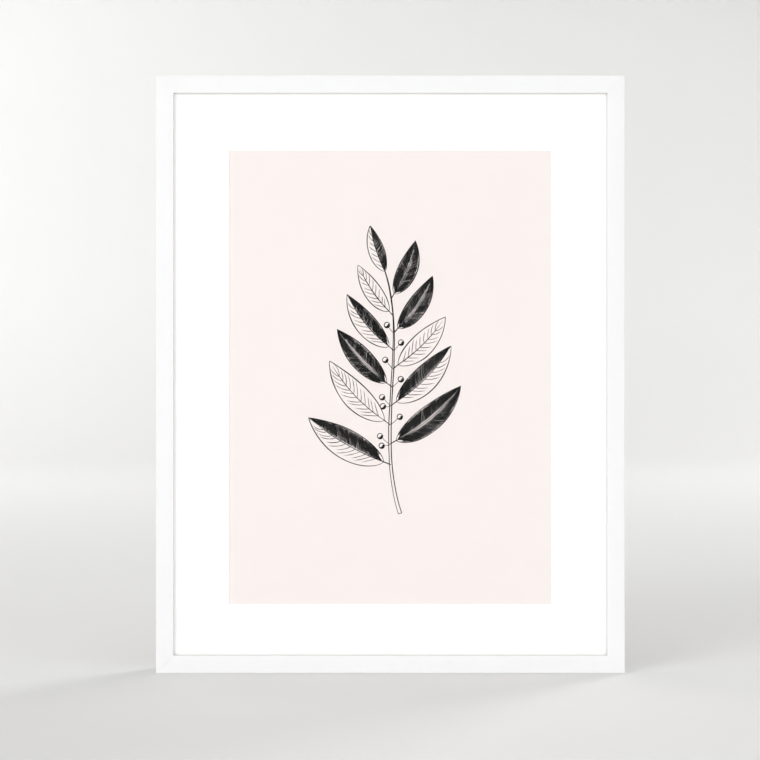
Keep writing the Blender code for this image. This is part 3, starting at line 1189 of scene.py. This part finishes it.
@dataclass
class Sprig:
    """An upright leafy sprig with berries, drawn by hand in black ink.

    Its sizes are in millimetres, its angles in degrees, and its places are shares of what they
    are on. A span holds the first and the last place, and a play is how far chance moves a
    value. A gap, bend, breadth, reach, start or stroke with two numbers holds the ends between
    which chance picks it.
    """

    centre_z: float
    paper_y: float
    seed: int = 4

    # The hand: the shares of a stroke over which it swells and thins, how unevenly it is
    # pressed, and how high its ink stands: the least, and what chance adds
    swell_in: float = 0.18
    swell_out: float = 0.25
    press: float = 0.16
    press_limits: Pair = (0.6, 1.4)
    press_knots: int = 6
    points_per_knot: int = 5
    ridge: Pair = (0.030, 0.025)

    # The stem: its curve's corners, and its half width: how much more it is at the cut end than
    # at the tip, what it is at the tip, and the power of its taper
    stem: Sequence[Pair] = ((9.0, -126.0), (-15.0, -52.0), (17.0, 30.0), (-5.0, 98.0))
    stem_taper: Triple = (1.35, 0.25, 1.2)

    # The leaves: the lowest one's place on the stem, the highest one's above it and the power of
    # their spacing, and for each of the two its length, its angle off the stem and its stalk
    leaf_rise: Triple = (0.20, 0.68, 0.96)
    lowest: Triple = (82.0, 62.0, 7.0)
    highest: Triple = (52.0, 38.0, 5.0)
    shades: Sequence[Shade] = (Shade.HALF, Shade.FULL, Shade.OPEN) * 3 + (Shade.FULL,)
    angle_play: float = 4.0
    length_play: float = 3.0
    turned_in: float = 9.0
    bend: Pair = (14.0, 30.0)
    breadth: Pair = (0.145, 0.168)
    midrib_span: Pair = (-0.02, 0.93)

    # The leaf at the tip: its length, half width and bend
    end_leaf: Triple = (45.0, 7.2, -16.0)

    # Veins: how far they lean towards the tip, with the power of their bend
    vein_gap: float = 5.2
    vein_span: Pair = (0.10, 0.80)
    vein_play: float = 0.006
    vein_reach: Pair = (0.62, 0.90)
    vein_lean: Pair = (0.20, 1.35)

    # Hatching across a leaf, and the rows of short strokes that cross it along the leaf. row_end
    # holds the last place where a stroke starts and the last where one ends
    hatch_gap: Pair = (0.58, 1.12)
    hatch_span: Pair = (0.015, 0.97)
    hatch_play: float = 0.05
    hatch_reach: Pair = (0.90, 1.0)
    hatch_lean: Pair = (0.13, 1.3)
    row_gap: float = 1.25
    row_start: Pair = (0.03, 0.10)
    row_end: Pair = (0.90, 0.97)
    row_stroke: Pair = (0.10, 0.26)
    row_pause: float = 0.05

    # Berries: their outline starts at berry_turn, in radians. The levels of their shading are
    # from the lowest to the highest by a step, and those below berry_crossed cross the whole
    # berry. Each of berry_places holds a place along the stem, a side, and the stalk's length
    # and angle off the stem
    berry_radius: float = 2.6
    berry_sag: float = 0.25
    berry_turn: float = 0.2
    berry_levels: Triple = (-0.86, 0.45, 0.17)
    berry_crossed: float = -0.35
    berry_places: Sequence[tuple[float, int, float, float]] = (
        (0.283, 1, 9.0, 50.0),
        (0.280, 1, 5.0, 96.0),
        (0.361, -1, 9.0, 50.0),
        (0.437, 1, 8.5, 48.0),
        (0.434, 1, 4.5, 92.0),
        (0.512, -1, 8.5, 46.0),
        (0.587, 1, 8.0, 44.0),
        (0.661, -1, 7.5, 42.0),
        (0.734, 1, 7.0, 40.0),
    )

    def __post_init__(self) -> None:
        """Lay out clean layers of ink, and steady the hand."""
        self.layers = {name: InkLines(self.centre_z, self.paper_y) for name in (OUTLINES, HATCHING)}
        self.random = np.random.default_rng(self.seed)

    def stem_at(self, share: np.ndarray) -> tuple[np.ndarray, np.ndarray]:
        """Follow the stem.

        Args:
            share: Places along it, from 0 at its cut end to 1 at its tip.

        Returns:
            The points, and the ways that it runs there.
        """
        a, b, c, d = np.array(self.stem) * MM
        t = share[:, None]
        points = (1 - t) ** 3 * a + 3 * t * (1 - t) ** 2 * b + 3 * t**2 * (1 - t) * c + t**3 * d
        ways = 3 * (1 - t) ** 2 * (b - a) + 6 * t * (1 - t) * (c - b) + 3 * t**2 * (d - c)
        return points, ways

    def node_at(self, share: float) -> tuple[np.ndarray, float]:
        """Give one point of the stem, and the angle at which it runs there, in radians."""
        points, ways = self.stem_at(np.array([share]))
        return points[0], math.atan2(ways[0, 1], ways[0, 0])

    def draw_line(self, pen: Pen, path: np.ndarray) -> None:
        """Draw one stroke, thinner at its ends, with the press and the drift of a hand.

        Args:
            pen: Its kind.
            path: Its middle line, through as many points as the kind has.
        """
        layer, width, start, end, drift, count = pen.value
        share = pen.run(0.0, 1.0)
        swell = np.minimum(
            start + (1 - start) * np.clip(share / self.swell_in, 0, 1),
            end + (1 - end) * np.clip((1 - share) / self.swell_out, 0, 1),
        )
        beats = self.random.normal(0.0, 1.0, self.press_knots)
        press = 1.0 + self.press * np.interp(share, np.linspace(0, 1, self.press_knots), beats)
        height = (self.ridge[0] + self.ridge[1] * self.random.random()) * MM
        knots = max(3, count // self.points_per_knot)
        rough = self.random.normal(0.0, drift, (knots, 2))
        at = np.linspace(0, knots - 1, count)
        waver = np.stack([np.interp(at, np.arange(knots), rough[:, k]) for k in (0, 1)], axis=1)
        widths = width * swell * np.clip(press, *self.press_limits)
        self.layers[layer].stroke(path + waver, widths, height)

    def draw_leaf(self, leaf: Leaf) -> None:
        """Draw one leaf: its outline, midrib, veins and hatching.

        Args:
            leaf: The leaf.
        """
        for across in (-1.0, 1.0):
            self.draw_line(Pen.MARGIN, leaf.place(Pen.MARGIN.run(0.0, 1.0), across))
        self.draw_line(Pen.MIDRIB, leaf.midrib(Pen.MIDRIB.run(*self.midrib_span))[0])
        for across in (-1, 1):
            half_dark = leaf.shade is Shade.HALF and across == leaf.dark_side
            fill = self.hatch_side if leaf.shade is Shade.FULL or half_dark else self.vein_side
            fill(leaf, across)

    def vein_side(self, leaf: Leaf, across: int) -> None:
        """Draw the veins of one side of a leaf.

        Args:
            leaf: The leaf.
            across: The side, -1 or 1.
        """
        lean, power = self.vein_lean
        starts = np.arange(*self.vein_span, self.vein_gap * MM / leaf.length)
        for start in starts + self.random.normal(0.0, self.vein_play, len(starts)):
            run = Pen.VEIN.run(0.02, self.random.uniform(*self.vein_reach))
            self.draw_line(Pen.VEIN, leaf.place(start + lean * run**power, across * run))

    def hatch_side(self, leaf: Leaf, across: int) -> None:
        """Fill one side of a leaf with dense hatching, in two directions.

        Args:
            leaf: The leaf.
            across: The side, -1 or 1.
        """
        inner, (lean, power) = leaf.shade.value, self.hatch_lean
        share, last = self.hatch_span
        while share < last:
            first = inner + self.random.uniform(0.0, self.hatch_play)
            run = Pen.HATCH.run(first, self.random.uniform(*self.hatch_reach))
            self.draw_line(Pen.HATCH, leaf.place(share + lean * run**power, across * run))
            share += self.random.uniform(*self.hatch_gap) * MM / leaf.length
        last_start, last_end = self.row_end
        for row in np.arange(inner + 0.06, last, self.row_gap * MM / leaf.half_width):
            start = self.random.uniform(*self.row_start)
            while start < last_start:
                end = min(start + self.random.uniform(*self.row_stroke), last_end)
                stroke = leaf.place(Pen.CROSS_HATCH.run(start, end), across * row)
                self.draw_line(Pen.CROSS_HATCH, stroke)
                start = end + self.random.uniform(0.0, self.row_pause)

    def draw_berry(self, foot: np.ndarray, heading: float, stalk: float) -> None:
        """Draw a berry on its stalk.

        Args:
            foot: Where the stalk leaves the stem.
            heading: The stalk's way, in radians.
            stalk: The stalk's length, in metres.
        """
        radius = self.berry_radius * MM
        run = Pen.STALK.run(0.0, 1.0)[:, None]
        sag = np.array([[0.0, -1.0]]) * (run * (1 - run)) * stalk * self.berry_sag
        self.draw_line(Pen.STALK, foot + run * stalk * unit(heading) + sag)
        centre = foot + (stalk + radius) * unit(heading)
        turn = Pen.BERRY.run(self.berry_turn, self.berry_turn + 2.05 * math.pi)
        self.draw_line(Pen.BERRY, centre + radius * np.stack([np.cos(turn), np.sin(turn)], axis=1))
        for level in np.arange(*self.berry_levels):
            reach = radius * math.sqrt(1 - level**2) * 0.96
            above = level - self.berry_crossed
            left = -reach if above < 0 else reach * (-0.1 + 0.7 * above)
            run = Pen.BERRY_SHADE.run(left, reach)
            row = np.stack([run, np.full_like(run, level * radius)], axis=1)
            self.draw_line(Pen.BERRY_SHADE, centre + row)

    def draw_stem(self) -> None:
        """Draw the stem: two close lines, the right one heavier, and its cut end."""
        share = Pen.STEM_DARK.run(0.0, 1.0)
        points, ways = self.stem_at(share)
        more, least, power = self.stem_taper
        left = left_of(ways) * (((1.0 - share) ** power * more + least) * MM)[:, None]
        self.draw_line(Pen.STEM_LIGHT, points + left)
        self.draw_line(Pen.STEM_DARK, points - left)
        self.draw_line(Pen.STEM_CUT, points[0] + left[0] * Pen.STEM_CUT.run(-1.0, 1.0)[:, None])

    def leaves(self) -> list[Leaf]:
        """Lay out the leaves: alternate, longer and wider apart towards the foot.

        Returns:
            The leaves.
        """
        laid = []
        lowest, highest = np.array(self.lowest), np.array(self.highest)
        start, span, power = self.leaf_rise
        rises = np.linspace(0.0, 1.0, len(self.shades))
        for number, (rise, shade) in enumerate(zip(rises, self.shades)):
            side = -1 if number % 2 else 1
            length, angle, petiole = lowest + (highest - lowest) * rise
            foot, stem_way = self.node_at(start + span * rise**power)
            angle += self.random.uniform(-self.angle_play, self.angle_play)
            heading = stem_way + side * math.radians(angle)
            stalk = petiole * MM * unit(heading)
            self.draw_line(Pen.PETIOLE, foot + Pen.PETIOLE.run(0.0, 1.0)[:, None] * stalk)
            length = (length + self.random.uniform(-self.length_play, self.length_play)) * MM
            half_width = length * self.random.uniform(*self.breadth)
            bend = -side * math.radians(self.random.uniform(*self.bend))
            heading -= side * math.radians(self.turned_in)
            laid.append(Leaf(foot + stalk, heading, length, half_width, bend, shade, -side))
        tip, way = self.node_at(1.0)
        length, half_width, turn = self.end_leaf
        bend = math.radians(turn)
        return laid + [Leaf(tip, way, length * MM, half_width * MM, bend, Shade.HALF, -1)]

    def berries(self) -> None:
        """Draw berries across from some of the leaves."""
        for share, side, stalk, swing in self.berry_places:
            foot, way = self.node_at(share)
            self.draw_berry(foot, way + side * math.radians(swing), stalk * MM)

    def draw(self) -> dict[str, InkLines]:
        """Draw the whole sprig.

        Returns:
            The strokes by the name of their piece.
        """
        self.draw_stem()
        for leaf in self.leaves():
            self.draw_leaf(leaf)
        self.berries()
        return self.layers


@dataclass
class Backing:
    """What lies behind the print: the mount board, the spacers and the hardboard."""

    hardboard: Hardboard
    grey_board: GreyBoard
    wood: BareWood
    edge_ease: float = 0.25 * MM

    def build(self) -> None:
        """Make the hardboard and dress the hidden pieces."""
        shape = eased_slab(*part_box("backing_board"), self.edge_ease)
        make_piece("back_board", shape, self.hardboard.material(), "backing_board")
        keep_node("mount_board", self.grey_board.material())
        for side in Side:
            keep_node("spacer_" + side.word, self.wood.material("spacer_wood_" + side.word, side))


@dataclass
class Tabs:
    """The flexible steel tabs that hold the hardboard in.

    Each pair of blank gives a place as a share of the tab's length, and the width there as a
    share of the full width.
    """

    finish: Metal
    thickness: float = 0.42 * MM
    ease: float = 0.08 * MM
    curl: float = 0.9 * MM
    curl_start: float = 0.55
    blank: Sequence[Pair] = (
        (0.0, 0.30), (0.12, 0.95), (0.16, 1.0), (0.35, 1.0), (0.55, 1.0), (0.68, 1.0), (0.76, 1.0)
    )

    def shape(self, side: Side, node: str) -> Shape:
        """Make one tab, pointed where it enters the wood and curled up at its free end.

        Args:
            side: The side whose rail it is driven into.
            node: The tab's node.

        Returns:
            The shape.
        """
        low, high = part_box(node)
        centre = (low + high) / 2
        width, length = side.split(high - low)
        half = width / 2
        tip = Vector((centre.x, low.y, centre.z)) - side.inward * (length / 2)
        stations = [(place * length, wide * half) for place, wide in self.blank]
        for turn in np.radians(np.arange(0.0, 86.0, 12.0)):
            stations.append((length - half + half * math.sin(turn), half * math.cos(turn)))
        rings = []
        for reach, wide in stations:
            bent = max(0.0, reach / length - self.curl_start) / (1 - self.curl_start)
            start = tip + side.inward * reach + Vector((0, self.curl * bent**2, 0))
            section = eased_section((-wide, 0.0), (wide, self.thickness), self.ease)
            rings.append([start + side.along * u + Vector((0, v, 0)) for u, v in section])
        return loft(rings)

    def build(self) -> None:
        """Make every tab."""
        steel = self.finish.material()
        for side in Side:
            for node in nodes_named("tab_" + side.word):
                name = node.replace("tab", "flex_tab")
                make_piece(name, self.shape(side, node), steel, node)


@dataclass
class ToothedHanger:
    """The stamped hanger on the top rail, with its raised, toothed middle and two nails.

    Each pair of tooth_line gives a place as a share of the pitch, and the cut there as a share
    of a tooth's depth. nail_point holds the length of a nail's point and its tip's radius.
    """

    finish: Metal
    nail_finish: Metal
    foot: float = 8.5 * MM
    ramp: float = 1.5 * MM
    teeth: int = 9
    tooth_depth: float = 2.0 * MM
    tooth_line: Sequence[Pair] = ((0.06, 0.0), (0.44, 1.0), (0.56, 1.0), (0.94, 0.0))
    thickness: float = 0.75 * MM
    node_thickness: float = 0.8 * MM
    edge: float = 0.14 * MM
    end_round: float = 2.2 * MM
    head_radius: float = 1.9 * MM
    head_height: float = 0.7 * MM
    head_rim: float = 0.12 * MM
    head_fullness: float = 0.6
    shank_radius: float = 0.65 * MM
    nail_point: Pair = (1.4 * MM, 0.1 * MM)
    nail_sides: int = 32

    def stations(self, length: float, rise: float) -> list[tuple[float, float, float, float]]:
        """List the stations along the strip.

        Args:
            length: The strip's length.
            rise: How far its middle stands off its ends.

        Returns:
            For each, its place from the middle, its rise, and how far the lower and the
            upper edge are cut back.
        """
        half = length / 2
        raised = half - self.foot - self.ramp
        pitch = 2 * raised / self.teeth
        rows = []
        for turn in np.radians(np.arange(0.0, 91.0, 15.0)):
            cut = self.end_round * (1 - math.sin(turn))
            rows.append((self.end_round * (1 - math.cos(turn)) - half, 0.0, cut, cut))
        rows.append((-raised - self.ramp, 0.0, 0.0, 0.0))
        middle = [(-raised, rise, 0.0, 0.0)]
        for tooth in range(self.teeth):
            for share, cut in self.tooth_line:
                place = -raised + (tooth + share) * pitch
                middle.append((place, rise, cut * self.tooth_depth, 0.0))
        middle.append((raised, rise, 0.0, 0.0))
        return rows + middle + [(-place, up, low, high) for place, up, low, high in reversed(rows)]

    def strip_shape(self) -> Shape:
        """Make the stamped strip.

        Returns:
            The shape.
        """
        low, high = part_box("hanger")
        rise = high.y - low.y - self.node_thickness
        rings = []
        for place, up, cut_low, cut_high in self.stations(high.x - low.x, rise):
            near, x = low.y + up, (low.x + high.x) / 2 + place
            corners = (near, low.z + cut_low), (near + self.thickness, high.z - cut_high)
            rings.append([Vector((x, y, z)) for y, z in eased_section(*corners, self.edge)])
        return loft(rings)

    def nail_shape(self, node: str) -> Shape:
        """Make a nail with a low domed head.

        Args:
            node: The nail's node.

        Returns:
            The shape.
        """
        low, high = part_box(node)
        length = high.y - low.y
        seat = length - self.head_height - TOUCH
        rim = seat + self.head_rim
        point, tip_radius = self.nail_point
        profile = [(0.0, tip_radius), (point, self.shank_radius), (seat, self.shank_radius)]
        profile += [(seat, self.head_radius - self.head_rim), (rim, self.head_radius)]
        for turn in np.radians(np.arange(10.0, 81.0, 14.0)):
            radius = self.head_radius * math.cos(turn) ** self.head_fullness
            profile.append((rim + (length - rim) * math.sin(turn), radius))
        return turned(low, high, profile, self.nail_sides)

    def build(self) -> None:
        """Make the hanger and its nails."""
        brass = self.finish.material()
        make_piece("toothed_hanger", self.strip_shape(), brass, "hanger")
        steel = self.nail_finish.material()
        for side in ("left", "right"):
            node = "hanger_nail_" + side
            make_piece("round_nail_" + side, self.nail_shape(node), steel, node)


@dataclass
class Bumpers:
    """The rubber bumpers on the side rails, whose domes draw in by crown times their height."""

    finish: Rubber
    wall_share: float = 0.45
    crown: float = 1.1
    sides: int = 48

    def build(self) -> None:
        """Make both bumpers."""
        rubber = self.finish.material()
        for side in ("left", "right"):
            low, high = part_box("bumper_" + side)
            radius, height = (high.x - low.x) / 2, high.y - low.y
            wall = height * self.wall_share
            dome = height - wall
            profile = [(-TOUCH, radius), (wall, radius)]
            for turn in np.radians(np.arange(10.0, 91.0, 10.0)):
                drawn_in = dome * (1 - math.cos(turn)) * self.crown
                profile.append((wall + dome * math.sin(turn), radius - drawn_in))
            shape = turned(low, high, profile, self.sides)
            make_piece("rubber_foot_" + side, shape, rubber, "bumper_" + side)


# The studio


@dataclass(frozen=True)
class Lamp:
    """A soft lamp, out of the camera's sight, aimed at the picture unless told otherwise.

    It is a square panel, or, with a cone in degrees, a round lamp whose light falls on the
    picture and not on the floor near it. The pane doesn't mirror a lamp with a cone, as when
    a polariser is on the lens.
    """

    name: str
    place: Triple
    size: float
    power: float
    aim: Triple = tuple(MIDDLE)
    cone: Optional[float] = None
    soft_edge: float = 0.5

    def build(self) -> None:
        """Make the lamp and put it in its place."""
        light = bpy.data.lights.new(self.name, "SPOT" if self.cone else "AREA")
        light.energy = self.power
        if self.cone:
            light.shadow_soft_size = self.size / 2
            light.spot_size = math.radians(self.cone)
            light.spot_blend = self.soft_edge
        else:
            light.size = self.size
        obj = placed(self.name, light)
        obj.location = self.place
        way = Vector(self.aim) - Vector(self.place)
        obj.rotation_euler = way.to_track_quat("-Z", "Y").to_euler()
        obj.visible_camera = False
        obj.visible_glossy = self.cone is None


@dataclass
class Studio:
    """A round pale studio, soft lamps, and the camera in front of the picture.

    Most of the light falls on the picture straight from the front. The wall lamps, each given
    by its turn in degrees and its power, light the wall all round.
    """

    paint: Plaster
    wall_radius: float = 6.0
    cove_radius: float = 1.6
    cove_step: float = 7.5
    wall_height: float = 2.6
    floor_ring: float = 1.0
    sides: int = 96
    lens: float = 85.0
    sensor: float = 36.0
    nearest: float = 0.05
    air: float = 0.34
    air_colour: Colour = (0.98, 0.99, 1.0)
    lamps: Sequence[Lamp] = (
        Lamp("front", (0.0, -4.2, 0.21), size=0.36, power=277.0, cone=30.0),
        Lamp("key", (-2.9, -3.9, 2.7), size=1.9, power=60.0),
        Lamp("back_key", (3.2, 3.7, 3.0), size=1.9, power=90.0),
        Lamp("overhead", (0.0, 0.0, 3.2), size=1.6, power=18.0),
    )
    wall_lamps: Sequence[tuple[int, float]] = ((45, 24.0), (135, 90.0), (225, 56.0), (315, 56.0))
    wall_lamp_radius: float = 3.4
    wall_lamp_height: float = 3.4
    wall_lamp_size: float = 1.6

    def build_room(self) -> None:
        """Make the floor and the wall, as one turned sheet."""
        profile = [(self.floor_ring, 0.0), (self.wall_radius - self.cove_radius, 0.0)]
        for turn in np.radians(np.arange(self.cove_step, 91.0, self.cove_step)):
            reach = self.wall_radius - self.cove_radius * (1 - math.sin(turn))
            profile.append((reach, self.cove_radius * (1 - math.cos(turn))))
        profile.append((self.wall_radius, self.wall_height))
        shape = bmesh.new()
        turns = np.linspace(0.0, 2 * math.pi, self.sides, endpoint=False)
        centre = shape.verts.new((0.0, 0.0, 0.0))
        loops = [
            [shape.verts.new((r * math.cos(t), r * math.sin(t), z)) for t in turns]
            for r, z in profile
        ]
        for index in range(self.sides):
            after = (index + 1) % self.sides
            shape.faces.new((centre, loops[0][index], loops[0][after]))
            for near, far in zip(loops, loops[1:]):
                shape.faces.new((near[index], far[index], far[after], near[after]))
        room = make_mesh("studio_room", shape, [self.paint.material()])
        room.data.shade_smooth()

    def build_lamps(self) -> None:
        """Make the lamps and the faint light of the air."""
        for lamp in self.lamps:
            lamp.build()
        for turn, power in self.wall_lamps:
            out = Vector((math.cos(math.radians(turn)), math.sin(math.radians(turn)), 0.0))
            place = tuple(out * self.wall_lamp_radius + Vector((0.0, 0.0, self.wall_lamp_height)))
            aim = tuple(out * self.wall_radius)
            Lamp(f"wall_{turn}", place, self.wall_lamp_size, power, aim).build()
        world = bpy.data.worlds.new("studio_air")
        world.use_nodes = True
        air = world.node_tree.nodes["Background"]
        air.inputs["Color"].default_value = (*self.air_colour, 1.0)
        air.inputs["Strength"].default_value = self.air
        bpy.context.scene.world = world

    def build_camera(self) -> None:
        """Make the camera, level and straight in front, framed as the photograph."""
        low, high = CAD_BOX
        across = (high.x - low.x) / (FRAME_RIGHT_PX - FRAME_LEFT_PX)
        upright = (high.z - low.z) / (FRAME_BOTTOM_PX - FRAME_TOP_PX)
        metres_per_pixel = (across + upright) / 2
        right_px = (FRAME_LEFT_PX + FRAME_RIGHT_PX) / 2 - PHOTO_SIDE / 2
        down_px = (FRAME_TOP_PX + FRAME_BOTTOM_PX) / 2 - PHOTO_SIDE / 2
        camera = bpy.data.cameras.new("camera")
        camera.lens = self.lens
        camera.sensor_width = self.sensor
        camera.clip_start = self.nearest
        obj = placed("camera", camera)
        obj.location = (
            MIDDLE.x - right_px * metres_per_pixel,
            low.y - PHOTO_SIDE * metres_per_pixel * self.lens / self.sensor,
            MIDDLE.z + down_px * metres_per_pixel,
        )
        obj.rotation_euler = (math.pi / 2, 0.0, 0.0)
        bpy.context.scene.camera = obj
        bpy.context.scene.view_settings.view_transform = "Standard"


def main() -> None:
    """Build the framed print and its studio."""
    logging.basicConfig(level=logging.INFO, format="%(name)s %(message)s")
    window = Window.behind_mat()
    wood = BareWood()
    steel = Metal("nail_steel", (0.62, 0.62, 0.63), (0.40, 0.39, 0.38), 0.26)
    spring_steel = Metal("spring_steel", (0.42, 0.42, 0.44), (0.24, 0.23, 0.23), 0.30)
    brass = Metal("plated_brass", (0.80, 0.62, 0.32), (0.66, 0.49, 0.24), 0.22)
    studio = Studio(Plaster())
    studio.build_camera()
    for assembly in (
        BoxFrame(Lacquer(), wood, steel),
        Glazing(ClearPane()),
        WindowMat(MatBoard(), window),
        PrintedSheet(PrintedPaper(), Ink(), window),
        Backing(Hardboard(), GreyBoard(), wood),
        Tabs(spring_steel),
        ToothedHanger(brass, steel),
        Bumpers(Rubber()),
    ):
        assembly.build()
    studio.build_room()
    studio.build_lamps()


if __name__ == "__main__":
    main()
